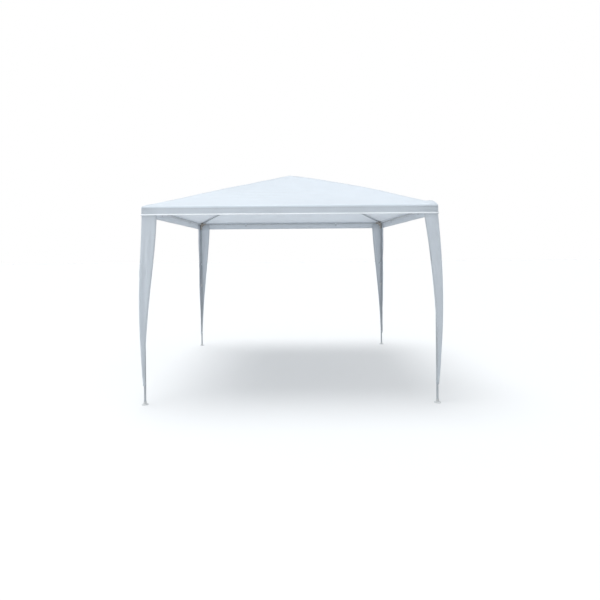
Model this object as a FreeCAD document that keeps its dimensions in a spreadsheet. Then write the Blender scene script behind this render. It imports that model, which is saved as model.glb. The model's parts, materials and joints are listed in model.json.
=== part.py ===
"""Square pole canopy, 3 m by 3 m: coated steel tubes in plastic connectors, under one sewn fabric cover.

Frame: +Z up, origin on the ground midway between the four legs, front side towards -Y. Millimetres.
Each corner and each side is the same, so both are placed at the front left and front, then turned
about Z by quarter turns.
"""

import FreeCAD
import Part
import Sketcher
import os
import re
from FreeCAD import Placement, Rotation, Vector

# alias, value in millimetres, what it measures
DIMENSIONS = [
    ("cover_half", 1500, "half the cover's width at the eaves, to the outside of the fabric"),
    ("eave_height", 2005, "where the roof meets the valance"),
    ("peak_height", 2550, "top of the roof"),
    ("fabric", 1, "thickness of every cloth solid"),
    ("valance_drop", 92, "height of the valance"),
    ("frame_half", 1480, "half the distance between the leg axes"),
    ("eave_axis", 1993, "height of the eave tubes' axes"),
    ("hub_height", 2526, "height of the point where the rafters' axes meet"),
    ("bar_radius", 9.5, "outside radius of the eave tubes and rafters"),
    ("bar_wall", 0.8, "wall of the eave tubes and rafters"),
    ("bar_start", 26, "from a connector's centre to the end of the bar inside it"),
    ("swage_radius", 8.4, "outside radius of the reduced end that joins two bars"),
    ("swage_length", 60, "length of the reduced end"),
    ("swage_taper", 6, "length of the cone between a bar and its reduced end"),
    ("leg_radius", 12.5, "outside radius of the upper leg"),
    ("leg_wall", 1, "wall of the upper leg"),
    ("leg_top", 1966, "top end of the upper leg"),
    ("leg_bottom", 980, "bottom end of the upper leg"),
    ("inner_radius", 11.1, "outside radius of the lower leg, which slides in the upper one"),
    ("inner_wall", 0.9, "wall of the lower leg"),
    ("inner_top", 1180, "top end of the lower leg"),
    ("inner_bottom", 8, "bottom end of the lower leg, on the floor of the foot's socket"),
    ("fit_gap", 0.1, "clearance all round between a tube and its socket"),
    ("slide_gap", 0.3, "clearance all round where the lower leg slides through the collar"),
    ("ball_radius", 16.4, "round middle of a corner connector"),
    ("bar_socket", 12.5, "outside radius of a connector's arms for bars"),
    ("bar_reach", 76, "length of those arms, from the connector's centre"),
    ("leg_socket", 15.5, "outside radius of a corner connector's arm for the leg"),
    ("leg_reach", 86, "length of that arm, from the connector's centre"),
    ("rim_width", 6, "width of the raised rim at the mouth of a connector's arm"),
    ("rim_rise", 1.2, "how far that rim stands out"),
    ("rib_size", 62, "short sides of a triangular rib, from the connector's centre"),
    ("rib_width", 3, "thickness of a rib"),
    ("hub_ball", 20, "round middle of the peak connector"),
    ("collar_radius", 15.5, "outside radius of the collar under the upper leg"),
    ("collar_height", 38, "height of the collar"),
    ("collar_lip", 8, "height of the collar's lip below the upper leg"),
    ("edge_break", 1.5, "bevel on the collar's outer edges"),
    ("foot_radius", 35, "radius of the foot's flange"),
    ("foot_flange", 4, "thickness of the flange"),
    ("foot_waist", 17.5, "radius of the foot's cone where it meets the flange"),
    ("foot_neck", 13.6, "radius of the foot's cone at its top"),
    ("foot_height", 34, "height of the foot"),
    ("foot_round", 6, "fillet between the cone and the flange"),
    ("rim_round", 1.5, "fillet on the flange's upper edge"),
    ("peg_hole", 4, "radius of the two holes in a foot for ground pegs"),
    ("peg_offset", 28, "from the foot's axis to a peg hole's axis"),
    ("stud_radius", 3.8, "radius of a snap button"),
    ("stud_hole", 4.1, "radius of the holes that the buttons come through"),
    ("stud_flange", 4.5, "radius of a button's flange inside the tube"),
    ("flange_width", 1.2, "thickness of that flange"),
    ("stud_round", 1.8, "fillet on a button's tip"),
    ("leg_stud", 1100, "height of the button that locks the lower leg"),
    ("leg_stud_root", 7.6, "from the leg's axis to the back of that button"),
    ("leg_stud_tip", 16.2, "from the leg's axis to its tip"),
    ("leg_step", 75, "distance between the holes for the three leg lengths"),
    ("top_stud", 1934, "height of the button that locks the leg in its connector"),
    ("top_stud_root", 8.8, "from the leg's axis to the back of that button"),
    ("top_stud_tip", 18.8, "from the leg's axis to its tip"),
    ("clip_strip", 0.8, "thickness of the spring strip behind a button"),
    ("clip_width", 6, "width of the spring strip"),
    ("clip_pad", 6, "half the height of the flat part behind the button"),
    ("clip_depth", 46, "from the button's axis down to the spring's bend"),
    ("clip_bend", 3, "half the height of the spring's bend"),
    ("leg_clip_back", 9.3, "from the leg's axis to the back arm of the lower leg's spring"),
    ("top_clip_back", 10.7, "from the leg's axis to the back arm of the upper leg's spring"),
    ("drape_inset", 1.4, "from the outside of the valance to the outside of a leg drape"),
    ("drape_top", 2000, "top edge of a leg drape, sewn inside the valance"),
    ("drape_bottom", 190, "bottom edge of a leg drape"),
    ("drape_wide", 150, "width of a drape's flap at the top"),
    ("drape_narrow", 32, "width of a drape's flap at the bottom"),
    ("tie_width", 25, "width of a hook-and-loop tie"),
    ("tie_cloth", 1, "thickness of a tie"),
    ("tie_gap", 0.6, "clearance between a tie and the tube in it"),
    ("tie_tab", 16, "width of the tab that sews a tie to the cover"),
    ("low_tie", 215, "height of the tie round the lower leg"),
    ("high_tie", 1340, "height of the tie round the upper leg"),
    ("eave_tie", 740, "from the middle of a side to each tie round the eave tube"),
]
ALIASES = {alias for alias, value, meaning in DIMENSIONS}
CORNERS = ["front_left", "front_right", "back_right", "back_left"]
SIDES = ["front", "right", "back", "left"]
X, Y, Z = Vector(1, 0, 0), Vector(0, 1, 0), Vector(0, 0, 1)
INWARD = Vector(1, 1, 0)  # from the front left corner towards the middle
LEG_LENGTHS = 3  # the holes that the lower leg's button can lock in
RUN_OUT = 1  # how far a cutting tool passes a face, mm
MATCH = 0.01  # how near an edge has to be to the one looked for, mm

doc = FreeCAD.newDocument("pole_canopy")
sheet = doc.addObject("Spreadsheet::Sheet", "dims")
finished = []  # the sub-parts, one file each


# ---- the spreadsheet -------------------------------------------------------------------------


def fill_sheet():
    """Writes the driving dimensions into the spreadsheet and names each cell."""
    for row, (alias, value, meaning) in enumerate(DIMENSIONS, start=1):
        sheet.set(f"A{row}", meaning)
        sheet.set(f"B{row}", str(value))
        sheet.setAlias(f"B{row}", alias)
    doc.recompute()


def formula(text):
    """Adds the sheet's name to every alias in an expression."""
    return re.sub("[a-z_]+", lambda word: "dims." + word[0] if word[0] in ALIASES else word[0], text)


def value(text):
    """The present value of an expression over the sheet's aliases."""
    return float(sheet.evalExpression(formula(text)))


def bind(obj, sizes):
    """Binds each named property of an object to an expression over the sheet."""
    for name, text in sizes.items():
        obj.setExpression(name, formula(text))
    return obj


# ---- placing -----------------------------------------------------------------------------------


def at(start, direction=Z):
    """The placement that takes local +Z to a direction from a start point."""
    return Placement(start, Rotation(Z, direction))


def corner_point(height):
    """A point on the front left leg's axis."""
    return Vector(-value("frame_half"), -value("frame_half"), height)


def inward_at(height):
    """On the front left leg's axis, with local +X towards the middle and +Z up."""
    return Placement(corner_point(height), Rotation(X, INWARD))


def turned(placement, turn):
    """A placement turned about the canopy's middle by so many quarter turns."""
    return Placement(Vector(), Rotation(Z, 90 * turn)) * placement


def finish(obj, label):
    """Names a sub-part and lists it for export."""
    obj.Label = label
    finished.append(obj)


# ---- primitives and booleans -------------------------------------------------------------------


def primitive(kind, placement, **sizes):
    """A Part primitive in its place, with its sizes bound to the sheet."""
    obj = doc.addObject("Part::" + kind, kind.lower())
    obj.Placement = placement
    return bind(obj, sizes)


def cylinder(start, direction, radius, height):
    """A cylinder that runs from a start point in a direction."""
    return primitive("Cylinder", at(start, direction), Radius=radius, Height=height)


def fuse(pieces):
    """One solid from overlapping pieces."""
    obj = doc.addObject("Part::MultiFuse", "fuse")
    obj.Shapes = pieces
    obj.Refine = False
    return obj


def cut(base, tool):
    """A base with a tool taken away."""
    obj = doc.addObject("Part::Cut", "cut")
    obj.Base = base
    obj.Tool = tool
    obj.Refine = False
    return obj


def group(pieces):
    """Several solids that are exported as one sub-part."""
    obj = doc.addObject("Part::Compound", "group")
    obj.Links = pieces
    return obj


# ---- bodies and sketches -----------------------------------------------------------------------


def new_body(name):
    """An empty PartDesign body."""
    return doc.addObject("PartDesign::Body", name)


def new_sketch(body, role):
    """A sketch on one of the body's own origin planes."""
    sketch = body.newObject("Sketcher::SketchObject", body.Name + "_sketch")
    plane = next(item for item in body.Origin.OriginFeatures if item.Role == role)
    sketch.AttachmentSupport = (plane, [""])
    sketch.MapMode = "FlatFace"
    return sketch


def constrain(sketch, kind, places, text):
    """Adds a dimension to a sketch and binds it to an expression."""
    number = sketch.addConstraint(Sketcher.Constraint(kind, *places, value(text)))
    sketch.setExpression(f"Constraints[{number}]", formula(text))


def fix_point(sketch, geometry, end, across, up):
    """Dimensions one point of a sketch from the origin."""
    constrain(sketch, "DistanceX", (-1, 1, geometry, end), across)
    constrain(sketch, "DistanceY", (-1, 1, geometry, end), up)


def draw_outline(sketch, corners):
    """Draws a closed outline of straight lines, with each corner given by two expressions."""
    points = [Vector(value(across), value(up), 0) for across, up in corners]
    for point, following in zip(points, points[1:] + points[:1]):
        sketch.addGeometry(Part.LineSegment(point, following))
    for number, (across, up) in enumerate(corners):
        following = (number + 1) % len(corners)
        sketch.addConstraint(Sketcher.Constraint("Coincident", number, 2, following, 1))
        fix_point(sketch, number, 1, across, up)


def draw_circle(sketch, across, up, radius):
    """Draws a circle with its centre and radius given by expressions."""
    centre = Vector(value(across), value(up), 0)
    number = sketch.addGeometry(Part.Circle(centre, Z, value(radius)))
    fix_point(sketch, number, 3, across, up)
    constrain(sketch, "Radius", (number,), radius)


def revolve(name, corners):
    """A body turned about its own Z axis from an outline of radius and height."""
    body = new_body(name)
    sketch = new_sketch(body, "XZ_Plane")
    draw_outline(sketch, corners)
    turn = body.newObject("PartDesign::Revolution", name + "_turn")
    turn.Profile = sketch
    turn.ReferenceAxis = (sketch, ["V_Axis"])
    turn.Angle = 360
    return body


def pad(body, sketch, length, centred=False):
    """Pads a sketch, from its plane or evenly about it."""
    feature = body.newObject("PartDesign::Pad", body.Name + "_pad")
    feature.Profile = sketch
    feature.SideType = "Symmetric" if centred else "One side"
    return bind(feature, {"Length": length})


def pocket(body, sketch, length):
    """Cuts a sketch along its plane's normal, and makes sure that it removed something."""
    doc.recompute()
    before = body.Shape.Volume
    feature = body.newObject("PartDesign::Pocket", body.Name + "_pocket")
    feature.Profile = sketch
    feature.Reversed = True
    bind(feature, {"Length": length})
    doc.recompute()
    if body.Shape.Volume > before - MATCH:
        raise RuntimeError(body.Name + ": the pocket cut nothing")


def round_circles(body, radius, circles):
    """Fillets the circular edges that have the given radius and height."""
    doc.recompute()
    base = body.Tip
    names = []
    for number, edge in enumerate(base.Shape.Edges, start=1):
        curve = edge.Curve
        if not isinstance(curve, Part.Circle):
            continue
        for around, height in circles:
            near = abs(curve.Radius - value(around)) < MATCH
            if near and abs(curve.Center.z - value(height)) < MATCH:
                names.append(f"Edge{number}")
    feature = body.newObject("PartDesign::Fillet", body.Name + "_fillet")
    feature.Base = (base, names)
    bind(feature, {"Radius": radius})


# ---- bars: eave tubes and rafters --------------------------------------------------------------


def bar(name, length, swaged):
    """A tube from a connector, at local height zero, to the joint in the middle of its span."""
    outside, inside = "bar_radius", "bar_radius - bar_wall"
    if not swaged:
        plain = [(outside, "bar_start"), (outside, length), (inside, length), (inside, "bar_start")]
        return revolve(name, plain)
    spigot, bore = "swage_radius", "swage_radius - bar_wall"
    neck, tip = length + " - swage_taper", length + " + swage_length"
    outer_line = [(outside, "bar_start"), (outside, neck), (spigot, length), (spigot, tip)]
    inner_line = [(bore, tip), (bore, length), (inside, neck), (inside, "bar_start")]
    return revolve(name, outer_line + inner_line)


def eave_tubes(side, turn):
    """The two halves of one eave: the swaged one's reduced end goes into the plain one."""
    left = corner_point(value("eave_axis"))
    right = Vector(-left.x, left.y, left.z)
    for half, start, direction in (("swaged", left, X), ("plain", right, -X)):
        name = f"eave_tube_{side}_{half}"
        tube = bar(name, "frame_half", swaged=half == "swaged")
        tube.Placement = turned(at(start, direction), turn)
        finish(tube, name)


def rafters(corner, turn):
    """The two halves of one hip rafter, from the corner connector up to the peak connector."""
    half_length = "sqrt(2 * frame_half^2 + (hub_height - eave_axis)^2) / 2"
    low = corner_point(value("eave_axis"))
    high = Vector(0, 0, value("hub_height"))
    for half, start, end in (("lower", low, high), ("upper", high, low)):
        name = f"rafter_{corner}_{half}"
        tube = bar(name, half_length, swaged=half == "lower")
        tube.Placement = turned(at(start, end - start), turn)
        finish(tube, name)


# ---- connectors --------------------------------------------------------------------------------


def arm(centre, direction, outside, reach):
    """The outside of a connector's arm, with a raised rim at its mouth."""
    direction = direction.normalize()
    rim_start = centre + direction * value(reach + " - rim_width")
    barrel = cylinder(centre, direction, outside, reach)
    rim = cylinder(rim_start, direction, outside + " + rim_rise", "rim_width")
    return [barrel, rim]


def bore(centre, direction, radius, first, last):
    """The tool that bores a socket, from a first to a last distance along an arm."""
    start = centre + direction.normalize() * value(first)
    return cylinder(start, direction, radius + " + fit_gap", f"{last} - ({first}) + {RUN_OUT}")


def rib(centre, first, second):
    """A flat triangle between two arms, with its right angle at the connector's centre."""
    across = first.cross(second).normalize()
    turn = Rotation(first, second, across, "ZXY")
    placement = Placement(centre - across * value("rib_width / 2"), turn)
    plate = primitive("Wedge", placement, Xmax="rib_size", Ymax="rib_size", Zmax="rib_width")
    plate.Xmin, plate.Ymin, plate.Zmin = 0, 0, 0
    plate.X2min, plate.X2max, plate.Z2min = 0, 0, 0
    return bind(plate, {"Z2max": "rib_width"})


def corner_connector(corner, turn):
    """A moulded piece that holds a leg, two eave tubes and a rafter."""
    centre = corner_point(value("eave_axis"))
    slope = Vector(0, 0, value("hub_height")) - centre
    bars = [X, Y, slope]
    solids = [primitive("Sphere", Placement(centre, Rotation()), Radius="ball_radius")]
    solids += arm(centre, -Z, "leg_socket", "leg_reach")
    solids += [rib(centre, X, -Z), rib(centre, Y, -Z), rib(centre, X, Y)]
    tools = [bore(centre, -Z, "leg_radius", "eave_axis - leg_top", "leg_reach")]
    for direction in bars:
        solids += arm(centre, Vector(direction), "bar_socket", "bar_reach")
        tools.append(bore(centre, Vector(direction), "bar_radius", "bar_start", "bar_reach"))
    stud_centre = corner_point(value("top_stud"))
    tools.append(cylinder(stud_centre, INWARD, "stud_hole", "leg_socket * 2"))
    connector = cut(fuse(solids), fuse(tools))
    connector.Placement = turned(Placement(), turn)
    finish(connector, "corner_connector_" + corner)


def peak_connector():
    """A moulded cross that holds the tops of the four rafters."""
    centre = Vector(0, 0, value("hub_height"))
    slope = corner_point(value("eave_axis")) - centre
    directions = [turned(Placement(), turn).multVec(slope) for turn in range(len(CORNERS))]
    solids = [primitive("Sphere", Placement(centre, Rotation()), Radius="hub_ball")]
    tools = []
    for direction in directions:
        solids += arm(centre, Vector(direction), "bar_socket", "bar_reach")
        tools.append(bore(centre, Vector(direction), "bar_radius", "bar_start", "bar_reach"))
        flat = Vector(direction.x, direction.y, 0)
        solids.append(rib(centre, flat.normalize(), -Z))
    finish(cut(fuse(solids), fuse(tools)), "peak_connector")


# ---- legs --------------------------------------------------------------------------------------


def leg_tube(name, radius, wall, low, high, studs):
    """A tube with button holes on its local +X side, at the given heights above the ground."""
    body = new_body(name)
    section = new_sketch(body, "XY_Plane")
    draw_circle(section, "0", "0", radius)
    draw_circle(section, "0", "0", f"{radius} - {wall}")
    pad(body, section, f"{high} - {low}")
    holes = new_sketch(body, "YZ_Plane")
    for height in studs:
        draw_circle(holes, "0", f"{height} - {low}", "stud_hole")
    pocket(body, holes, radius + " * 2")
    return body


def legs(corner, turn):
    """The upper and the lower leg of one corner."""
    steps = [f"leg_stud + {step} * leg_step" for step in range(LEG_LENGTHS)]
    upper = ("leg_radius", "leg_wall", "leg_bottom", "leg_top", steps + ["top_stud"])
    lower = ("inner_radius", "inner_wall", "inner_bottom", "inner_top", ["leg_stud"])
    for part, (radius, wall, low, high, studs) in (("upper", upper), ("lower", lower)):
        name = f"leg_{part}_{corner}"
        tube = leg_tube(name, radius, wall, low, high, studs)
        tube.Placement = turned(inward_at(value(low)), turn)
        finish(tube, name)


def leg_collar(corner, turn):
    """The plastic ring under the upper leg, in which the lower leg slides."""
    outside, bevelled = "collar_radius", "collar_radius - edge_break"
    socket, throat = "leg_radius + fit_gap", "inner_radius + slide_gap"
    outer_line = [(bevelled, "0"), (outside, "edge_break"), (outside, "collar_height - edge_break")]
    upper_line = [(bevelled, "collar_height"), (socket, "collar_height"), (socket, "collar_lip")]
    lower_line = [(throat, "collar_lip"), (throat, "0")]
    collar = revolve("leg_collar_" + corner, outer_line + upper_line + lower_line)
    collar.Placement = turned(at(corner_point(value("leg_bottom - collar_lip"))), turn)
    finish(collar, "leg_collar_" + corner)


def foot(corner, turn):
    """A round foot with a socket for the lower leg and two peg holes in its flange."""
    socket = "inner_radius + fit_gap"
    flange_line = [("0", "0"), ("foot_radius", "0"), ("foot_radius", "foot_flange")]
    cone_line = [("foot_waist", "foot_flange"), ("foot_neck", "foot_height")]
    socket_line = [(socket, "foot_height"), (socket, "inner_bottom"), ("0", "inner_bottom")]
    body = revolve("foot_" + corner, flange_line + cone_line + socket_line)
    round_circles(body, "foot_round", [("foot_waist", "foot_flange")])
    round_circles(body, "rim_round", [("foot_radius", "foot_flange")])
    holes = new_sketch(body, "XY_Plane")
    draw_circle(holes, "peg_offset", "0", "peg_hole")
    draw_circle(holes, "-peg_offset", "0", "peg_hole")
    pocket(body, holes, "foot_flange + foot_round")
    body.Placement = turned(at(corner_point(0)), turn)
    finish(body, "foot_" + corner)


# ---- snap buttons ------------------------------------------------------------------------------


def snap_button(label, height, root, tip, turn):
    """A stepped button that points from the leg's axis to the middle of the canopy."""
    shoulder = root + " + flange_width"
    outer_line = [("0", root), ("stud_flange", root), ("stud_flange", shoulder), ("stud_radius", shoulder)]
    body = revolve(label, outer_line + [("stud_radius", tip), ("0", tip)])
    round_circles(body, "stud_round", [("stud_radius", tip)])
    body.Placement = turned(at(corner_point(value(height)), INWARD), turn)
    finish(body, label)


def clip_spring(name, height, root, back, turn):
    """The bent strip behind a button: a front pad, a slanting arm, a bend and a back arm."""
    low, floor = "-clip_depth - clip_bend", "-clip_depth - clip_bend + clip_strip"
    arm_top = "-clip_depth + clip_bend * 4"
    front = [(root, "clip_pad"), (root, "-clip_pad"), (f"-{back} / 2 + clip_strip", low)]
    rear = [(f"-{back}", low), (f"-{back}", arm_top), (f"-{back} + clip_strip", arm_top)]
    bend = [(f"-{back} + clip_strip", floor), (f"(clip_strip - {back}) / 2", floor)]
    pad_back = [(f"{root} - clip_strip", "-clip_pad"), (f"{root} - clip_strip", "clip_pad")]
    body = new_body(name)
    outline = new_sketch(body, "XZ_Plane")
    draw_outline(outline, front + rear + bend + pad_back)
    pad(body, outline, "clip_width", centred=True)
    body.Placement = turned(inward_at(value(height)), turn)
    return body


def leg_locks(corner, turn):
    """The button and spring that set the lower leg's length."""
    snap_button("leg_button_" + corner, "leg_stud", "leg_stud_root", "leg_stud_tip", turn)
    name = "leg_spring_" + corner
    finish(clip_spring(name, "leg_stud", "leg_stud_root", "leg_clip_back", turn), name)


def top_locks():
    """The buttons that hold the upper legs in the corner connectors, and their springs."""
    springs = []
    for turn, corner in enumerate(CORNERS):
        snap_button("corner_button_" + corner, "top_stud", "top_stud_root", "top_stud_tip", turn)
        spring = clip_spring("corner_spring", "top_stud", "top_stud_root", "top_clip_back", turn)
        springs.append(spring)
    finish(group(springs), "corner_springs")


# ---- cloth -------------------------------------------------------------------------------------


def roof_panel(turn):
    """A sloping triangle of cloth from one eave up to the peak, mitred along its two hips."""
    slant = "fabric * sqrt(cover_half^2 + (peak_height - eave_height)^2) / cover_half"
    body = new_body("roof_panel")
    section = new_sketch(body, "YZ_Plane")
    eave, peak = "-cover_half", "0"
    upper_line = [(eave, "eave_height"), (peak, "peak_height")]
    lower_line = [(peak, "peak_height - " + slant), (eave, "eave_height - " + slant)]
    draw_outline(section, lower_line + upper_line)
    pad(body, section, "2 * cover_half", centred=True)
    for side in ("-", ""):
        mitre = new_sketch(body, "XY_Plane")
        wide, deep = f"{side}(cover_half + {RUN_OUT})", f"-cover_half - {RUN_OUT}"
        draw_outline(mitre, [("0", "0"), (wide, deep), (wide, "0")])
        pocket(body, mitre, "peak_height * 2")
    body.Placement = turned(Placement(), turn)
    return body


def valance_strip(turn):
    """The upright strip below one eave, which stops at the inside of the next one."""
    low = value("eave_height - fabric * 1.07 - valance_drop")
    placement = Placement(Vector(-value("cover_half"), -value("cover_half"), low), Rotation())
    sizes = {"Length": "2 * cover_half - fabric", "Width": "fabric", "Height": "valance_drop"}
    return primitive("Box", turned(placement, turn), **sizes)


def leg_drape(corner, turn):
    """Two tapered flaps that meet at a corner edge and hide the leg from outside."""
    edge = value("cover_half - drape_inset")
    low = value("drape_bottom")
    seam = value("fabric")
    front = Placement(Vector(-edge, -edge + seam, low), Rotation(X, Z, -Y, "ZXY"))
    side = Placement(Vector(-edge, -edge + seam, low), Rotation(Y, Z, X, "ZXY"))
    flaps = []
    for placement, shorter in ((front, ""), (side, " - fabric")):
        flap = primitive("Wedge", turned(placement, turn), Xmax="drape_narrow" + shorter)
        flap.Xmin, flap.Ymin, flap.Zmin, flap.X2min, flap.Z2min = 0, 0, 0, 0, 0
        sizes = {"X2max": "drape_wide" + shorter, "Ymax": "drape_top - drape_bottom"}
        flaps.append(bind(flap, sizes | {"Zmax": "fabric", "Z2max": "fabric"}))
    finish(group(flaps), "leg_drape_" + corner)


def tie(centre, direction, radius, tab_end, turn):
    """A loop round a tube, with a tab that reaches out to the cloth it is sewn to."""
    outside = f"{radius} + tie_gap + tie_cloth"
    start = centre - direction * value("tie_width / 2")
    loop = cylinder(start, direction, outside, "tie_width")
    side = direction.cross(Y)
    tab_place = Placement(start - side * value("tie_tab / 2"), Rotation(side, -Y, direction, "ZXY"))
    tab = primitive("Box", tab_place, Length="tie_tab", Width=tab_end, Height="tie_width")
    hole_start, hole_length = start - direction * RUN_OUT, f"tie_width + 2 * {RUN_OUT}"
    hole = cylinder(hole_start, direction, radius + " + tie_gap", hole_length)
    strap = cut(fuse([loop, tab]), hole)
    strap.Placement = turned(Placement(), turn)
    return strap


def cover_ties():
    """The ties round each leg and round each eave tube."""
    to_drape = "cover_half - drape_inset - fabric - frame_half"
    to_valance = "cover_half - fabric - frame_half"
    straps = []
    for turn in range(len(CORNERS)):
        straps.append(tie(corner_point(value("low_tie")), Z, "inner_radius", to_drape, turn))
        straps.append(tie(corner_point(value("high_tie")), Z, "leg_radius", to_drape, turn))
        for along in (-value("eave_tie"), value("eave_tie")):
            centre = Vector(along, -value("frame_half"), value("eave_axis"))
            straps.append(tie(centre, X, "bar_radius", to_valance, turn))
    finish(group(straps), "cover_ties")


# ---- the whole canopy --------------------------------------------------------------------------


def build():
    """Builds every sub-part in its place."""
    fill_sheet()
    for turn, corner in enumerate(CORNERS):
        corner_connector(corner, turn)
        rafters(corner, turn)
        legs(corner, turn)
        leg_collar(corner, turn)
        foot(corner, turn)
        leg_locks(corner, turn)
        leg_drape(corner, turn)
    for turn, side in enumerate(SIDES):
        eave_tubes(side, turn)
    peak_connector()
    top_locks()
    finish(group([roof_panel(turn) for turn in range(len(SIDES))]), "roof_cover")
    finish(group([valance_strip(turn) for turn in range(len(SIDES))]), "valance")
    cover_ties()
    doc.recompute()


def check():
    """Stops with a message if any object failed or any sub-part has no sound shape."""
    for obj in doc.Objects:
        if "Invalid" in obj.State or "Error" in obj.State:
            raise RuntimeError(f"{obj.Label}: {obj.State}")
    for obj in finished:
        if obj.Shape.isNull() or not obj.Shape.isValid() or not obj.Shape.Solids:
            raise RuntimeError(f"{obj.Label}: no sound shape")


def export():
    """Writes one STEP file for each sub-part."""
    os.makedirs("parts", exist_ok=True)
    for obj in finished:
        obj.Shape.exportStep(f"parts/{obj.Label}.step")
        print(f"{obj.Label}: {len(obj.Shape.Solids)} solid(s), {obj.Shape.Volume / 1000:.1f} cm3")


build()
check()
export()
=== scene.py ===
"""The looks of a square pole canopy: its sewn cover, leg drapes and ties, and finishes for its frame.

Metres, +Z up, front side towards -Y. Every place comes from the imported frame. The four sides and the
four corners are made at the front and at the front left, then turned by quarter turns about Z.
"""

import json
import math
import bpy
import numpy as np
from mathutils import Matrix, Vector, noise


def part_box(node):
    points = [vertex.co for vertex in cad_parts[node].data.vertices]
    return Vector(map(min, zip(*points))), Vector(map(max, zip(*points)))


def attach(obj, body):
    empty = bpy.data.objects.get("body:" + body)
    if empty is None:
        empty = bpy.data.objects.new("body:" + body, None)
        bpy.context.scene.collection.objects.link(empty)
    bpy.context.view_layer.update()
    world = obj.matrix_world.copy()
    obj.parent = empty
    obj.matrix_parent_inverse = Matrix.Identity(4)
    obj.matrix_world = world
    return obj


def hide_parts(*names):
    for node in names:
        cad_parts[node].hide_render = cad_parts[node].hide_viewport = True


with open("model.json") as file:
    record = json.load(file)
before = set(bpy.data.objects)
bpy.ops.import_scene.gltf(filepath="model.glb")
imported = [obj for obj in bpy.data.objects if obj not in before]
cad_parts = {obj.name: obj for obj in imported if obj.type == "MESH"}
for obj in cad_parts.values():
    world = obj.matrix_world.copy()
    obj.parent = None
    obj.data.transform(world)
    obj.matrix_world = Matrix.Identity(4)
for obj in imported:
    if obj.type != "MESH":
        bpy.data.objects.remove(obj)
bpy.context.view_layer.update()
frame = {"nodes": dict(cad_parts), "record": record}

# ---- places and sizes, from the frame ----------------------------------------------------------

CORNERS = ["front_left", "front_right", "back_right", "back_left"]
SIDES = ["front", "right", "back", "left"]

roof_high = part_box("roof_cover")[1]
strip_low, strip_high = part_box("valance")
drape_low, drape_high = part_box("leg_drape_front_left")
upper_low, upper_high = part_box("leg_upper_front_left")
lower_low, lower_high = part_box("leg_lower_front_left")
eave_low, eave_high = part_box("eave_tube_front_swaged")
ties_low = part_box("cover_ties")[0]

HALF = roof_high.x  # half the cover's width at the eaves
PEAK = roof_high.z
EAVE = strip_high.z + 0.001  # where the roof's slope meets the valance
HEM = strip_low.z
SLOPE = (PEAK - EAVE) / HALF
LEG = -(upper_low.x + upper_high.x) / 2  # the leg axes stand at plus and minus this
EAVE_AXIS = (eave_low.z + eave_high.z) / 2
DRAPE_EDGE = -drape_low.x - 0.0003  # the drapes' outer corner edge
TIE_WIDTH, TIE_THICKNESS = 0.025, 0.0012
LOW_TIE = ties_low.z + TIE_WIDTH / 2  # the heights of the two ties on each leg
HIGH_TIE = upper_low.z + 0.36

CLOTH = 0.0006  # thickness of the cover's cloth
FOLD_RADIUS = 0.016  # where the roof turns down into the valance, over the eave tube
HIP_RADIUS = 0.012  # plan radius of the cover's corners and hips
HEM_HEIGHT = 0.014
HEM_GAP = 0.0016  # between the valance and its turned-up hem
HEM_FLARE = math.tan(math.radians(18))  # the stiff hem kicks outwards

SIDE_STEPS, ARC_STEPS = 88, 5  # points along each side of a ring of the cover, and round each corner
ROOF_STEPS, FOLD_STEPS, VALANCE_STEPS = 96, 7, 15  # its rings, from the peak down


# ---- meshes ------------------------------------------------------------------------------------


def turned(points, quarter_turns):
    """Points in plan, turned about Z by quarter turns."""
    x, y = points[:, 0], points[:, 1]
    for _ in range(quarter_turns):
        x, y = -y, x
    return np.stack([x, y], axis=1)


def new_object(name, points, faces, smooth=True):
    """A mesh object from points and faces."""
    mesh = bpy.data.meshes.new(name)
    mesh.from_pydata([tuple(point) for point in points], [], faces)
    mesh.update()
    mesh.polygons.foreach_set("use_smooth", [smooth] * len(mesh.polygons))
    obj = bpy.data.objects.new(name, mesh)
    bpy.context.scene.collection.objects.link(obj)
    return obj


def lattice_faces(rows, columns, closed):
    """The quads of a grid of points, stored row by row; closed joins its last column to its first."""
    faces = []
    for row in range(rows - 1):
        for column in range(columns if closed else columns - 1):
            following = (column + 1) % columns
            low, high = row * columns, (row + 1) * columns
            faces.append((low + column, high + column, high + following, low + following))
    return faces


def set_map(obj, name, places):
    """Keeps a pair of lengths for each point, in metres, as a UV map for the cloth's weave or seams."""
    layer = obj.data.uv_layers.new(name=name)
    index = np.zeros(len(obj.data.loops), dtype=np.int32)
    obj.data.loops.foreach_get("vertex_index", index)
    layer.data.foreach_set("uv", places[index].astype(np.float32).ravel())


def thicken(obj, thickness):
    """Gives a sheet its thickness, evenly about its middle, and keeps the result."""
    modifier = obj.modifiers.new("thickness", "SOLIDIFY")
    modifier.thickness = thickness
    modifier.offset = 0
    modifier.use_even_offset = False
    evaluated = obj.evaluated_get(bpy.context.evaluated_depsgraph_get())
    mesh = bpy.data.meshes.new_from_object(evaluated)
    obj.modifiers.clear()
    obj.data = mesh


def rough_noise(points, scale, seed):
    """Smooth noise between about -1 and 1 at each point."""
    offset = Vector((seed * 7.3, seed * 3.1, seed * 1.7))
    return np.array([noise.noise(Vector(point) * scale + offset) for point in points])


def gaussian(distance, width):
    """A bell curve: 1 at no distance, and almost gone at twice its width."""
    return np.exp(-((distance / width) ** 2))


# ---- the cover: roof and valance in one sheet ----------------------------------------------------

SEAM_LAP = 0.015  # width of the lap of cloth beside each hip and corner
SEAM_PLACES = np.array([0.0, 0.005, 0.011, SEAM_LAP - 0.001, SEAM_LAP + 0.001, 0.022])
SEAM_FADE = 0.1  # rings with less flat side than this, near the peak, draw the seams' points together
SEAM_CLEAR = 1.4  # the evenly spread points keep this many times the seams' width from a corner
even = np.linspace(-1, 1, SIDE_STEPS - 2 * len(SEAM_PLACES))
SPREAD = (even + np.sin(even * math.pi / 2)) / 2  # places along a side, closer near its ends


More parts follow.
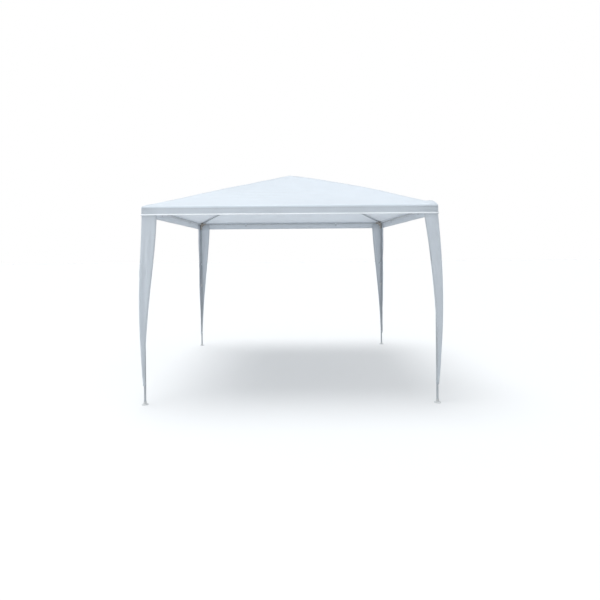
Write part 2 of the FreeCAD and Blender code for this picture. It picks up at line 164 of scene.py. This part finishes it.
def ring(half, radius):
    """A level ring of the cover: its points in plan, outward directions, sides and places along them."""
    flat = half - radius
    seam = SEAM_PLACES * min(1, flat / SEAM_FADE)
    inner = flat - seam[-1] * SEAM_CLEAR
    line = np.concatenate([seam - flat, SPREAD * inner, flat - seam[::-1]])
    angles = np.linspace(-math.pi / 2, 0, ARC_STEPS + 2)[1:-1]
    x = np.concatenate([line, flat + radius * np.cos(angles)])
    y = np.concatenate([np.full(SIDE_STEPS, -half), -flat + radius * np.sin(angles)])
    out_x = np.concatenate([np.zeros(SIDE_STEPS), np.cos(angles)])
    out_y = np.concatenate([np.full(SIDE_STEPS, -1.0), np.sin(angles)])
    along = np.concatenate([line / flat, np.ones(ARC_STEPS)])
    points = np.stack([x, y], axis=1)
    outward = np.stack([out_x, out_y], axis=1)
    count = len(SIDES)
    all_points = np.concatenate([turned(points, turn) for turn in range(count)])
    all_outward = np.concatenate([turned(outward, turn) for turn in range(count)])
    side = np.repeat(np.arange(count), len(along))
    return all_points, all_outward, side, np.tile(along, count)


TIP = 0.002  # half the width of the ring that closes the peak
HEM_TURN = ((0.3, 0), (0.7, 0), (1, CLOTH), (1, HEM_HEIGHT / 2), (1, HEM_HEIGHT))  # gaps out, metres up
HEM_ROWS = len(HEM_TURN) + 1  # the rings of the hem, with the valance's last one


def cover_profile():
    """The cover's section from peak to hem: half width, height, roof share and drop below the eave."""
    tilt = math.atan(SLOPE)
    centre = HALF - FOLD_RADIUS
    centre_z = EAVE + SLOPE * FOLD_RADIUS - FOLD_RADIUS / math.cos(tilt)
    first = centre + FOLD_RADIUS * math.sin(tilt)
    rows = []
    for half in np.linspace(TIP, first, ROOF_STEPS):
        rows.append((half, EAVE + SLOPE * (HALF - half), half / HALF, 0))
    for angle in np.linspace(math.pi / 2 - tilt, 0, FOLD_STEPS)[1:]:
        rows.append((centre + FOLD_RADIUS * math.cos(angle), centre_z + FOLD_RADIUS * math.sin(angle), 1, 0))
    for height in np.linspace(centre_z, HEM + CLOTH, VALANCE_STEPS)[1:]:
        rows.append((HALF, height, 1, centre_z - height))
    drop = centre_z - HEM
    for out, up in HEM_TURN:
        rows.append((HALF + HEM_GAP * out, HEM + max(up, CLOTH / 2), 1, drop - up))
    return rows


ROOF_SAG = 0.020  # how far the middle of each panel hangs through
HIP_BOW = [0.004, 0.030, 0.012, 0.006]  # how far the cloth stands off each hip, by corner
CORNER_BUMP = [0.005, 0.022, 0.007, 0.006]  # how far each corner connector lifts it
BUMP_WIDTH, BUMP_PLACE = 0.045, 0.98  # how wide it lifts, and where, as a share of the leg's place
RIPPLE_HEIGHT, RIPPLE_SPACING = 0.0044, 0.135
RIPPLE_MIDDLE, RIPPLE_SPREAD = 0.70, 0.30  # where down the panel they are strongest, and how far they reach
DOWN_CREASES = (-1.0, -0.5, 0.0, 0.5, 1.0)  # packing creases down a panel, metres from its middle line
LEVEL_CREASES = (0.36, 0.72, 1.08)  # level packing creases, metres in from the eave
DOWN_CREASE, LEVEL_CREASE, CREASE_WIDTH = 0.0024, 0.0020, 0.028  # their heights, and their width
LAP_RISE = 0.0013  # the lap of cloth beside a hip stands this much higher
CRUMPLE = ((0.0036, 2.4, 1), (0.0016, 6.5, 2))  # height, scale and seed of the soft and the fine crumple
PEAK_CALM, EAVE_CALM = 0.12, 0.012  # over these widths the cloth settles on its flat panels


def ripples(points, down, share, middle):
    """Broken ripples that run along the eaves."""
    bent = down / RIPPLE_SPACING + 0.7 * rough_noise(points, 1.1, 3)
    patches = np.clip(0.55 + 1.3 * rough_noise(points, 1.7, 4), 0, 1)
    strength = gaussian(share - RIPPLE_MIDDLE, RIPPLE_SPREAD)
    return RIPPLE_HEIGHT * np.sin(math.tau * bent) * patches * middle * strength


def pull_folds(points, centre, radius, lobes, height):
    """Folds that spread out from a place where the frame pushes the cloth up."""
    x, y = points[:, 0] - centre[0], points[:, 1] - centre[1]
    away = np.hypot(x, y) / radius
    turning = np.arctan2(y, x) * lobes + 2.2 * rough_noise(points, 1.9, lobes)
    return height * away * np.exp(1 - away) * np.sin(turning)


def roof_lift(points, side, along, share):
    """How far the roof's cloth stands above its flat panels."""
    middle = 1 - along**2
    rise = np.sin(math.pi * share)
    down = (1 - share) * HALF
    across = along * share * HALF
    lift = -ROOF_SAG * middle * rise * (0.9 + 0.2 * np.cos(side))
    for corner, end in ((side, -1), ((side + 1) % 4, 1)):
        hip = np.clip(along * end, 0, 1) ** 6
        lift += np.take(HIP_BOW, corner) * hip * rise
    for number, crease in enumerate(DOWN_CREASES):
        lift += (-1) ** number * DOWN_CREASE * np.exp(-np.abs(across - crease) / CREASE_WIDTH) * rise
    for number, crease in enumerate(LEVEL_CREASES):
        lift += (-1) ** number * LEVEL_CREASE * np.exp(-np.abs(down - crease) / CREASE_WIDTH) * middle
    lift += LAP_RISE * ((1 - np.abs(along)) * share * HALF < SEAM_LAP)
    lift += ripples(points, down, share, middle)
    soft, fine = (height * rough_noise(points, scale, seed) for height, scale, seed in CRUMPLE)
    lift += soft + fine
    lift += pull_folds(points, (0, 0), radius=0.22, lobes=9, height=0.0014) * middle
    for corner, height in enumerate(CORNER_BUMP):
        place = turned(np.array([[-LEG, -LEG]]), corner)[0]
        lift += height * gaussian(np.hypot(*(points[:, :2] - place * BUMP_PLACE).T), BUMP_WIDTH)
        lift += pull_folds(points, place, radius=0.24, lobes=13, height=0.0022)
    at_peak = np.clip(share * HALF / PEAK_CALM, 0, 1)
    return lift * at_peak * np.clip(down / EAVE_CALM, 0, 1) ** 0.5


PEAK_ROUNDING = 0.011  # the roof's tip is rounded over this height


def soften_peak(height):
    """Rounds the roof's tip over the peak connector, without going above it."""
    over = np.maximum(height - (PEAK - PEAK_ROUNDING), 0)
    return height - over**2 / (4 * PEAK_ROUNDING)


VALANCE_LEAN = 0.008  # how much the left part of the front valance's hem hangs out
VALANCE_HANG = 0.0020  # how far every hem hangs out
LONG_WAVE, SHORT_WAVE = 0.83, 0.37  # lengths of the waves in a hem
WAVE_DEPTH = 0.0024
BELLY = 0.0015  # how far the middle of a valance's height bulges
PUCKER_DEPTH, PUCKER_REACH, CORNER_CALM = 0.0016, 0.16, 0.012  # puckers beside a corner, not on it


def valance_shift(along, side, drop):
    """How far the valance hangs outside its plane, growing towards the hem."""
    place = along * HALF
    depth = np.clip(drop / (EAVE - HEM), 0, 1)
    middle = np.clip((1 - np.abs(along)) / 0.12, 0, 1)
    long_wave = np.sin(2 * math.pi * place / LONG_WAVE + side * 1.9)
    short_wave = np.sin(2 * math.pi * place / SHORT_WAVE + side * 4.1)
    wave = long_wave + 0.6 * short_wave
    belly = np.sin(math.pi * depth) * BELLY
    from_corner = (1 - np.abs(along)) * HALF
    pucker = 1 + np.sin(from_corner * 118 + side * 2.3 + np.sign(along))
    beside_corner = np.exp(-from_corner / PUCKER_REACH)
    gathered = PUCKER_DEPTH * pucker * beside_corner * (1 - np.exp(-from_corner / CORNER_CALM))
    lean = VALANCE_LEAN * np.clip(0.45 - along, 0, 1) * middle * (side == 0)
    hang = depth**1.4 * (VALANCE_HANG + WAVE_DEPTH * (wave + 1.2) * middle)
    return hang + belly * middle + gathered * depth**0.6 + depth * lean


FLARE_HEIGHT = HEM_HEIGHT + 0.004  # the hem's outward kick starts this far above its edge


def build_cover():
    """The whole cover as one sheet: four roof panels that run over the eaves into the valance."""
    rows = cover_profile()
    slant = math.hypot(1, SLOPE)
    points, places, seams = [], [], []
    for half, height, share, drop in rows:
        plan, outward, side, along = ring(half, min(HIP_RADIUS, half * 0.6))
        if drop == 0:
            flat = np.column_stack([plan, np.full(len(plan), height)])
            z = soften_peak(height + roof_lift(flat, side, along, share))
        else:
            flare = HEM_FLARE * max(0.0, FLARE_HEIGHT - (height - HEM))
            plan = plan + outward * (valance_shift(along, side, drop) + flare)[:, None]
            z = np.full(len(plan), height)
        points.append(np.column_stack([plan, z]))
        down = (1 - share) * HALF * slant - drop
        places.append(np.column_stack([along * half + side * 2 * HALF, np.full(len(plan), down)]))
        seams.append(np.column_stack([(1 - np.abs(along)) * half, np.full(len(plan), down + EAVE - HEM)]))
    points = np.concatenate(points)
    points[:, 2] -= max(0.0, points[:, 2].max() - PEAK)
    columns = len(SIDES) * (SIDE_STEPS + ARC_STEPS)
    faces = lattice_faces(len(rows), columns, closed=True)
    faces.append(tuple(range(columns)))
    cover = new_object("canopy_cover", points, faces)
    set_map(cover, "cloth", np.concatenate(places))
    set_map(cover, "seams", np.concatenate(seams))
    hem_start = (len(rows) - HEM_ROWS) * columns
    valance_start = sum(drop == 0 for *_, drop in rows) * columns
    for polygon in cover.data.polygons:
        first = polygon.vertices[0]
        polygon.material_index = int(first >= valance_start) + int(first >= hem_start)  # roof, valance, hem
    return cover


# ---- leg drapes --------------------------------------------------------------------------------

DRAPE_BOW = [0.024, 0.034, 0.005, 0.003]  # how far each drape's corner stands out, half way down
DRAPE_TAPER = [(1.9, 1.9), (2.0, 1.0), (1.6, 1.5), (1.6, 1.6)]  # the powers in each drape's outline
WIDE = drape_high.x - drape_low.x + 0.006  # width of a flap at its top, 6 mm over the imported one's
NARROW = 0.026  # and at the bottom
DRAPE_ROWS, FLAP_STEPS, BEND_STEPS = 120, 17, 7
BEND_RADIUS, BEND_GROWTH = 0.009, 0.008  # the bend at the corner, and how much rounder it gets lower down
EDGE_FOLD = 0.014  # width of the fold sewn along each flap's edge
EDGE_GAP = 0.0018  # between a flap and its fold
DRAPE_TOP = drape_high.z - 0.008  # they are sewn in just below the fold over the eave
FREE_TOP = HEM - 0.006  # the drapes hang freely below this
GATHER = 0.0012  # how far the lowest tie pulls them in
LONG_CREASE, SHORT_CREASE, FLUTTER, TIE_PUCKER = 0.0030, 0.0017, 0.0015, 0.0014  # their depths
TIE_CALM = 0.06  # the creases die down within this of a tie
TAB_GAP = 0.0030  # between a tie's tab and the drape's middle line


def drape_width(share, turn):
    """The width of a drape's flap, from its bottom at 0 to its top at 1."""
    power, shoulder = DRAPE_TAPER[turn]
    return NARROW + (WIDE - NARROW) * (1 - (1 - share**power) ** shoulder)


def drape_bow(height, turn):
    """How far a drape's corner edge stands out at a height."""
    free = min((height - drape_low.z) / (FREE_TOP - drape_low.z), 1)
    return DRAPE_BOW[turn] * max(math.sin(math.pi * free), 0) ** 1.1


def drape_section(share, turn):
    """One level of a flat drape in plan: points, outward directions and places along the cloth."""
    edge = DRAPE_EDGE
    width = drape_width(share, turn)
    radius = BEND_RADIUS + BEND_GROWTH * (1 - share) ** 4
    flat = width - radius
    steps = np.linspace(0, 1, FLAP_STEPS)
    angles = np.linspace(-math.pi / 2, -math.pi, BEND_STEPS)[1:-1]
    centre = -edge + radius
    bend = radius * math.pi / 2
    front = [(-edge + width - flat * step, -edge, 0, -1, step * flat) for step in steps]
    corner = []
    for number, angle in enumerate(angles, start=1):
        across, up = math.cos(angle), math.sin(angle)
        place = flat + bend * number / (len(angles) + 1)
        corner.append((centre + radius * across, centre + radius * up, across, up, place))
    side = [(-edge, centre + flat * step, -1, 0, flat + bend + step * flat) for step in steps]
    fold = [(EDGE_GAP, 0.0), (EDGE_GAP, EDGE_FOLD)]
    start = [(-edge + width - back, -edge + inward, 0, -1, -back) for inward, back in reversed(fold)]
    end = [(-edge + inward, -edge + width - back, -1, 0, 2 * flat + bend + back) for inward, back in fold]
    return np.array(start + front + corner + side + end)


def drape_creases(place, height, turn):
    """The drape's lengthwise creases: long soft ones, and small puckers where the ties gather it."""
    free = np.clip((FREE_TOP - height) / 0.25, 0, 1)
    long_wave = np.sin(place * 62 + 1.3 * math.sin(height * 2.3 + turn * 2) + turn * 1.7)
    short_wave = np.sin(place * 131 + height * 2.9 + turn * 2.6)
    flutter = FLUTTER * math.sin(height * 41 + turn) * math.exp(-(height - drape_low.z) / 0.35)
    crease = (LONG_CREASE * long_wave + SHORT_CREASE * short_wave) * free + flutter * np.sin(place * 50)
    for tie_height in (LOW_TIE, HIGH_TIE):
        near = gaussian(height - tie_height, TIE_CALM)
        crease *= 1 - 0.85 * near
        crease += near * TIE_PUCKER * np.sin(place * 260 + turn)
    return crease


def build_drape(corner, turn):
    """A leg drape: two tapered flaps in one sheet, bent round the corner, bowed out and creased."""
    points, places, seams = [], [], []
    for height in np.linspace(drape_low.z, DRAPE_TOP, DRAPE_ROWS):
        share = (height - drape_low.z) / (drape_high.z - drape_low.z)
        section = drape_section(share, turn)
        plan, outward, place = section[:, :2], section[:, 2:4], section[:, 4]
        away = np.abs(place - place.mean()) / (place.max() - place.mean())
        bow = drape_bow(height, turn)
        along_flap = (1 - away)[:, None] * (-1 - outward) * bow
        off_flap = (1 - 0.55 * away)[:, None] * outward * bow
        at_corner = np.clip((0.25 - away) / 0.25, 0, 1)[:, None] ** 2
        moved = along_flap * (1 - at_corner) + off_flap
        moved = moved * (1 - at_corner) + np.array([-bow, -bow]) * at_corner
        pulled_in = GATHER * (1 - share) ** 6
        moved += outward * (drape_creases(place - place.mean(), height, turn) - pulled_in)[:, None]
        points.append(np.column_stack([turned(plan + moved, turn), np.full(len(plan), height)]))
        places.append(np.column_stack([place + turn * 0.7, np.full(len(plan), height)]))
        from_edge = np.minimum(place, place.max() - EDGE_FOLD - place)
        seams.append(np.column_stack([np.full(len(plan), 1.0), from_edge]))
    columns = len(points[0])
    faces = lattice_faces(DRAPE_ROWS, columns, closed=False)
    drape = new_object("drape_" + corner, np.concatenate(points), faces)
    set_map(drape, "cloth", np.concatenate(places))
    set_map(drape, "seams", np.concatenate(seams))
    thicken(drape, CLOTH)
    return drape


# ---- ties --------------------------------------------------------------------------------------

TIE_COLUMNS = 5
EAVE_PLACE = 0.74  # how far the eave ties stand from the middle of a side
LOW_TAB, HIGH_TAB, EAVE_TAB = 0.007, 0.034, 0.040  # lengths of the tabs that are sewn to the cloth
LOOP_GAP = 0.0003  # between a strap and its tube
LAP_PITCH = TIE_THICKNESS * 1.15  # from a tab to the end that is pressed on it
UV_STEP = 0.003


def tie_path(radius, reach, tab):
    """A strap's line: sewn flat on cloth at y = -reach, round a tube at the origin, and back on itself."""
    loose = radius + TIE_THICKNESS / 2 + LOOP_GAP
    flat = TIE_THICKNESS / 2 - reach
    angles = np.linspace(math.radians(260), math.radians(-55), 28)
    loop = [(loose * math.cos(angle), loose * math.sin(angle)) for angle in angles]
    out = [(tab, flat), (tab * 0.7, flat), (tab * 0.4, flat), (tab * 0.1, flat + 0.0006)]
    back = [(tab * place, flat + LAP_PITCH) for place in (0.45, 0.7, 0.9)]
    return out + loop + back


def build_tie(centre, along, towards, radius, reach, tab):
    """A strap round a tube: centre is on its axis, along is its direction, towards points to the cloth."""
    along, towards = Vector(along), Vector(towards)
    across = along.cross(towards)
    line = tie_path(radius, reach, tab)
    points, places = [], []
    for number, (x, y) in enumerate(line):
        for side in np.linspace(-0.5, 0.5, TIE_COLUMNS):
            points.append(Vector(centre) + across * x - towards * y + along * (side * TIE_WIDTH))
            places.append((number * UV_STEP, side * TIE_WIDTH))
    tie = new_object("tie", points, lattice_faces(len(line), TIE_COLUMNS, closed=False))
    set_map(tie, "cloth", np.array(places))
    thicken(tie, TIE_THICKNESS)
    return tie


def build_ties():
    """Every tie of the cover, joined into one piece."""
    upper_radius = (upper_high.x - upper_low.x) / 2
    lower_radius = (lower_high.x - lower_low.x) / 2
    bar_radius = (eave_high.z - eave_low.z) / 2
    leg_ties = ((LOW_TIE, lower_radius, GATHER, LOW_TAB), (HIGH_TIE, upper_radius, 0, HIGH_TAB))
    leg_reach = DRAPE_EDGE - LEG
    eave_reach = HALF - LEG - CLOTH
    ties = []
    for turn in range(len(SIDES)):
        spot = turned(np.array([[-LEG, -LEG]]), turn)[0]
        out = (*turned(np.array([[0.0, -1.0]]), turn)[0], 0)
        side = (*turned(np.array([[1.0, 0.0]]), turn)[0], 0)
        for height, radius, pulled_in, tab in leg_ties:
            reach = leg_reach + drape_bow(height, turn) * 0.6 - pulled_in - TAB_GAP
            ties.append(build_tie((*spot, height), (0, 0, 1), out, radius, reach, tab))
        for place in (-EAVE_PLACE, EAVE_PLACE):
            centre = (*turned(np.array([[place, -LEG]]), turn)[0], EAVE_AXIS)
            ties.append(build_tie(centre, side, out, bar_radius, eave_reach, EAVE_TAB))
    bpy.ops.object.select_all(action="DESELECT")
    for tie in ties:
        tie.select_set(True)
    bpy.context.view_layer.objects.active = ties[0]
    bpy.ops.object.join()
    ties[0].name = "cover_straps"
    return ties[0]


# ---- materials ---------------------------------------------------------------------------------


class Finish:
    """A material under construction: its node tree and the shortcuts that the finishes share."""

    def __init__(self, name, roughness, **sockets):
        self.material = bpy.data.materials.new(name)
        self.material.use_nodes = True
        self.tree = self.material.node_tree
        self.shader = self.tree.nodes["Principled BSDF"]
        self.output = self.tree.nodes["Material Output"]
        self.shader.inputs["Roughness"].default_value = roughness
        for socket, value in sockets.items():
            self.shader.inputs[socket.replace("_", " ")].default_value = value

    def node(self, kind, inputs=None, **settings):
        """Adds a node, with its settings and its inputs: a number, a colour or another node's output."""
        node = self.tree.nodes.new("ShaderNode" + kind)
        for name, value in settings.items():
            setattr(node, name, value)
        for name, value in (inputs or {}).items():
            if isinstance(value, bpy.types.NodeSocket):
                self.tree.links.new(value, node.inputs[name])
            else:
                node.inputs[name].default_value = value
        return node

    def feed(self, socket, output):
        """Links an output to one of the shader's sockets."""
        self.tree.links.new(output, self.shader.inputs[socket])

    def places(self):
        """The place on the object, in metres."""
        return self.node("TexCoord").outputs["Object"]

    def noise(self, vector, scale, detail=3.0):
        """A noise pattern's grey value."""
        inputs = {"Vector": vector, "Scale": scale, "Detail": detail}
        return self.node("TexNoise", inputs).outputs["Fac"]

    def ramp(self, value, stops):
        """A colour ramp with (place, colour) stops."""
        node = self.node("ValToRGB", {"Fac": value})
        elements = node.color_ramp.elements
        while len(elements) < len(stops):
            elements.new(0.5)
        for element, (place, colour) in zip(elements, stops):
            element.position = place
            element.color = (*colour, 1)
        return node.outputs["Color"]

    def tint(self, mask, base, colour):
        """The base colour, and another where the mask is 1."""
        inputs = {"Fac": mask, "Color1": base, "Color2": (*colour, 1)}
        return self.node("MixRGB", inputs).outputs["Color"]

    def bump(self, height, distance, strength=1.0, normal=None):
        """Turns a grey value into a bump."""
        inputs = {"Height": height, "Distance": distance, "Strength": strength}
        if normal is not None:
            inputs["Normal"] = normal
        return self.node("Bump", inputs).outputs["Normal"]

    def maths(self, operation, first, second=0.0):
        """One arithmetic step."""
        node = self.node("Math", operation=operation)
        for number, value in enumerate((first, second)):
            if isinstance(value, bpy.types.NodeSocket):
                self.tree.links.new(value, node.inputs[number])
            else:
                node.inputs[number].default_value = value
        return node.outputs[0]


def shade(colour, factor):
    """A colour made lighter or darker."""
    return tuple(min(channel * factor, 1) for channel in colour)


STITCH, STITCH_SHARE = 0.0046, 0.68  # from one stitch to the next, and how much of it is thread
THREAD = 0.0006  # half the width of a stitch


def wave_scale(length):
    """The scale at which a wave texture has one band to a length."""
    return math.tau / 20 / length


def stitches(finish, seams, across, along, rows):
    """A mask of dashed thread: rows are the distances from a seam or edge, measured on one map axis."""
    split = finish.node("SeparateXYZ", {0: seams})
    place = split.outputs[across]
    stitch = finish.maths("FRACT", finish.maths("DIVIDE", along, STITCH))
    dash = finish.maths("LESS_THAN", stitch, STITCH_SHARE)
    mask = None
    for row in rows:
        off_line = finish.maths("ABSOLUTE", finish.maths("SUBTRACT", place, row))
        thread = finish.maths("MULTIPLY", finish.maths("LESS_THAN", off_line, THREAD), dash)
        mask = thread if mask is None else finish.maths("MAXIMUM", mask, thread)
    return mask


def cloth_finish(name, colour, through, tape=0.0025, seam_rows=(), edge_rows=(), double_and_highlight=None):
    """Woven and coated tape cloth: fine ribs both ways, stitched seams, and light that comes through.

    seam_rows and edge_rows are where its threads run, and the last argument is the strip painted lighter,
    where the cloth lies in two layers and as a painted highlight along the eave, all on the seams map.
    """
    finish = Finish(name, 0.46, Sheen_Weight=0.12, Sheen_Roughness=0.4, Specular_IOR_Level=0.35)
    cloth = finish.node("UVMap", uv_map="cloth").outputs["UV"]
    woven = []
    for direction in ("X", "Y"):
        inputs = {"Vector": cloth, "Scale": wave_scale(tape)}
        woven.append(finish.node("TexWave", inputs, bands_direction=direction).outputs["Fac"])
    weave = finish.maths("MAXIMUM", *woven)
    inputs = {"Vector": cloth, "Scale": wave_scale(tape * 6)}
    ribs = finish.node("TexWave", inputs, bands_direction="Y")
    clouds = finish.noise(cloth, 1.6, 4)
    patches = finish.noise(cloth, 7.0, 2)
    tone = finish.maths("ADD", finish.maths("MULTIPLY", clouds, 0.7), finish.maths("MULTIPLY", patches, 0.3))
    colours = finish.ramp(tone, [(0.30, shade(colour, 0.955)), (0.70, shade(colour, 1.02))])
    normal = finish.bump(finish.noise(cloth, 14.0, 5), 0.0012, 0.55)
    normal = finish.bump(ribs.outputs["Fac"], 0.0003, 0.4, normal)
    normal = finish.bump(weave, 0.00015, 0.5, normal)
    if seam_rows or edge_rows:
        seams = finish.node("UVMap", uv_map="seams").outputs["UV"]
        flat = finish.node("SeparateXYZ", {0: cloth}).outputs
        if double_and_highlight:
            height = finish.node("SeparateXYZ", {0: seams}).outputs[1]
            above = finish.maths("GREATER_THAN", height, double_and_highlight[0])
            double_and_highlight_mask = finish.maths("MULTIPLY", above, finish.maths("LESS_THAN", height, double_and_highlight[1]))
            # painted highlight: the strip along the eaves is made 12 % lighter, standing also for the cloth
            # lying in two layers there
            colours = finish.tint(double_and_highlight_mask, colours, shade(colour, 1.12))
        thread = stitches(finish, seams, 1, flat[0], edge_rows)
        if seam_rows:
            thread = finish.maths("MAXIMUM", thread, stitches(finish, seams, 0, flat[1], seam_rows))
        colours = finish.tint(thread, colours, shade(colour, 0.62))
        normal = finish.bump(thread, 0.0006, 0.8, normal)
    finish.feed("Base Color", colours)
    finish.feed("Normal", normal)
    glow = finish.node("BsdfTranslucent", {"Color": (0.86, 0.86, 0.87, 1), "Normal": normal})
    mixed = finish.node("MixShader", {0: through, 1: finish.shader.outputs["BSDF"], 2: glow.outputs["BSDF"]})
    finish.tree.links.new(mixed.outputs[0], finish.output.inputs["Surface"])
    return finish.material


def powder_coat_painted_shade():
    """Light grey powder coat painted a mid grey, darker than the coat itself, as painted shade on the tubes:
    a fine orange peel, with slight dulling where it is handled.
    """
    finish = Finish("powder_coat_painted_shade", 0.38, Coat_Weight=0.15, Coat_Roughness=0.25)
    places = finish.places()
    handled = finish.noise(places, 6.0, 3)
    # painted shade: these greys are darker than the light coat; the handled noise varies them at random
    finish.feed("Base Color", finish.ramp(handled, [(0.35, (0.39, 0.42, 0.45)), (0.7, (0.46, 0.49, 0.52))]))
    finish.feed("Roughness", finish.maths("MULTIPLY_ADD", handled, 0.25))
    finish.feed("Normal", finish.bump(finish.noise(places, 700.0, 2), 0.0002, 0.3))
    return finish.material


def moulded(name, dark, light):
    """Moulded plastic: a fine spark-eroded grain and faint flow marks."""
    finish = Finish(name, 0.55, Specular_IOR_Level=0.45)
    places = finish.places()
    flow = finish.noise(places, 30.0, 3)
    finish.feed("Base Color", finish.ramp(flow, [(0.3, dark), (0.7, light)]))
    finish.feed("Normal", finish.bump(finish.noise(places, 1400.0, 2), 0.0003, 0.4))
    return finish.material


def bare_steel(name, roughness, colour):
    """Bright metal with fine drawn lines."""
    finish = Finish(name, roughness, Metallic=1.0)
    places = finish.places()
    lines = finish.noise(places, 900.0, 2)
    finish.feed("Base Color", finish.ramp(lines, [(0.3, shade(colour, 0.9)), (0.7, colour)]))
    finish.feed("Normal", finish.bump(lines, 0.0001, 0.25))
    return finish.material


CLOTH_WHITE = (0.715, 0.775, 0.835)
EDGE_THREAD = (0.003, 0.010)  # distances of the threads from a flap's edge
HIP_THREAD = (0.003, SEAM_LAP - 0.003)  # from a hip or a corner
HEM_THREAD = (HEM_HEIGHT - 0.003, EAVE - HEM - 0.012, EAVE - HEM - 0.017)  # above the hem's edge
EAVE_DOUBLE_AND_HIGHLIGHT = (EAVE - HEM - 0.008, EAVE - HEM + 0.022)  # the strip along the eaves where the cloth lies in two layers, painted lighter also as a highlight
cover_cloth = cloth_finish(
    "cover_cloth", CLOTH_WHITE, 0.31, seam_rows=HIP_THREAD, edge_rows=HEM_THREAD, double_and_highlight=EAVE_DOUBLE_AND_HIGHLIGHT
)
# The valance's cloth is the cover's cloth made 7 % darker: painted shade on the hanging sides.
valance_cloth_painted_shade = cloth_finish(
    "valance_cloth_painted_shade", shade(CLOTH_WHITE, 0.93), 0.31, seam_rows=HIP_THREAD, edge_rows=HEM_THREAD
)
hem_cloth = cloth_finish("hem_cloth", (0.86, 0.90, 0.94), 0.06, edge_rows=HEM_THREAD)
drape_cloth = cloth_finish("drape_cloth", (0.69, 0.745, 0.80), 0.30, edge_rows=EDGE_THREAD)
# The straps' webbing is a mid grey, darker than its own white: painted shade.
webbing_painted_shade = cloth_finish("webbing_painted_shade", (0.56, 0.60, 0.64), 0.10, tape=0.0012)
SLOT_FINISHES = {
    "coated_steel": powder_coat_painted_shade(),
    "connector_plastic": moulded("connector_plastic", (0.34, 0.32, 0.29), (0.42, 0.39, 0.36)),
    "light_grey_plastic": moulded("light_grey_plastic", (0.52, 0.53, 0.53), (0.62, 0.64, 0.65)),
    "button_steel": bare_steel("button_steel", 0.22, (0.80, 0.80, 0.82)),
    "spring_steel": bare_steel("spring_steel", 0.38, (0.52, 0.53, 0.56)),
}


def finish_frame():
    """Gives each CAD node that stays visible the finish of its slot."""
    for part in frame["record"]["subparts"]:
        finish = SLOT_FINISHES.get(part["material_slot"])
        if finish is None:
            continue
        mesh = frame["nodes"][part["node"]].data
        mesh.materials.clear()
        mesh.materials.append(finish)


# ---- the scene ---------------------------------------------------------------------------------


def finish_soft_pieces():
    """Builds every soft piece, parents it to the root body and hides the CAD part that it stands in for."""
    cover = build_cover()
    thicken(cover, CLOTH)
    for finish in (cover_cloth, valance_cloth_painted_shade, hem_cloth):
        cover.data.materials.append(finish)
    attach(cover, "root")
    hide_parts("roof_cover", "valance")
    for turn, corner in enumerate(CORNERS):
        drape = build_drape(corner, turn)
        drape.data.materials.append(drape_cloth)
        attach(drape, "root")
        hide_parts("leg_drape_" + corner)
    straps = build_ties()
    straps.data.materials.append(webbing_painted_shade)
    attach(straps, "root")
    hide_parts("cover_ties")


def build_floor():
    """A plain pale floor."""
    finish = Finish("floor", 0.9)
    finish.shader.inputs["Base Color"].default_value = (0.50, 0.51, 0.52, 1)
    finish.shader.inputs["Emission Color"].default_value = (1, 1, 1, 1)
    finish.shader.inputs["Emission Strength"].default_value = 0.27
    reach = 60
    corners = [(-reach, -reach, 0), (reach, -reach, 0), (reach, reach, 0), (-reach, reach, 0)]
    floor = new_object("floor", corners, [(0, 1, 2, 3)], smooth=False)
    floor.data.materials.append(finish.material)


def build_light():
    """An overcast sky, lighter overhead, that shows as plain white; a soft high sun; a panel at the left."""
    world = bpy.data.worlds.new("sky")
    bpy.context.scene.world = world
    world.use_nodes = True
    tree = world.node_tree
    background = tree.nodes["Background"]
    background.inputs["Color"].default_value = (0.95, 0.98, 1.0, 1)
    direction = tree.nodes.new("ShaderNodeTexCoord")
    split = tree.nodes.new("ShaderNodeSeparateXYZ")
    tree.links.new(direction.outputs["Generated"], split.inputs[0])
    strength = tree.nodes.new("ShaderNodeMapRange")
    strength.inputs["From Min"].default_value = 0
    strength.inputs["From Max"].default_value = 1
    strength.inputs["To Min"].default_value = 0.35
    strength.inputs["To Max"].default_value = 1.1
    tree.links.new(split.outputs["Z"], strength.inputs["Value"])
    tree.links.new(strength.outputs[0], background.inputs["Strength"])
    plain = tree.nodes.new("ShaderNodeBackground")
    plain.inputs["Color"].default_value = (1, 1, 1, 1)
    rays = tree.nodes.new("ShaderNodeLightPath")
    mixed = tree.nodes.new("ShaderNodeMixShader")
    tree.links.new(rays.outputs["Is Camera Ray"], mixed.inputs[0])
    tree.links.new(background.outputs[0], mixed.inputs[1])
    tree.links.new(plain.outputs[0], mixed.inputs[2])
    tree.links.new(mixed.outputs[0], tree.nodes["World Output"].inputs["Surface"])
    lamp = bpy.data.lights.new("high_sun", "SUN")
    lamp.energy = 2.0
    lamp.angle = math.radians(40)
    light = bpy.data.objects.new("high_sun", lamp)
    light.rotation_euler = (math.radians(-2), math.radians(-12), 0)
    bpy.context.scene.collection.objects.link(light)
    panel = bpy.data.lights.new("left_panel", "AREA")
    panel.size = 3
    panel.energy = 32
    light = bpy.data.objects.new("left_panel", panel)
    light.location = (-4.5, -4.5, 2.6)
    aim = Vector((0.5, -1.5, 1.9)) - light.location
    light.rotation_euler = aim.to_track_quat("-Z", "Y").to_euler()
    bpy.context.scene.collection.objects.link(light)
    view = bpy.context.scene.view_settings
    view.view_transform = "Standard"
    view.look = "None"


def build_camera():
    """A level camera in front of the middle, near eye height and rolled by half a degree."""
    data = bpy.data.cameras.new("camera")
    data.sensor_width = 36
    data.lens = 27.87
    data.shift_x = 0.0125
    data.shift_y = -0.0814
    camera = bpy.data.objects.new("camera", data)
    camera.location = (0.024, -6.184, 1.542)
    camera.rotation_euler = (math.radians(90), math.radians(0.46), 0)
    bpy.context.scene.collection.objects.link(camera)
    bpy.context.scene.camera = camera


finish_soft_pieces()
finish_frame()
build_floor()
build_light()
build_camera()
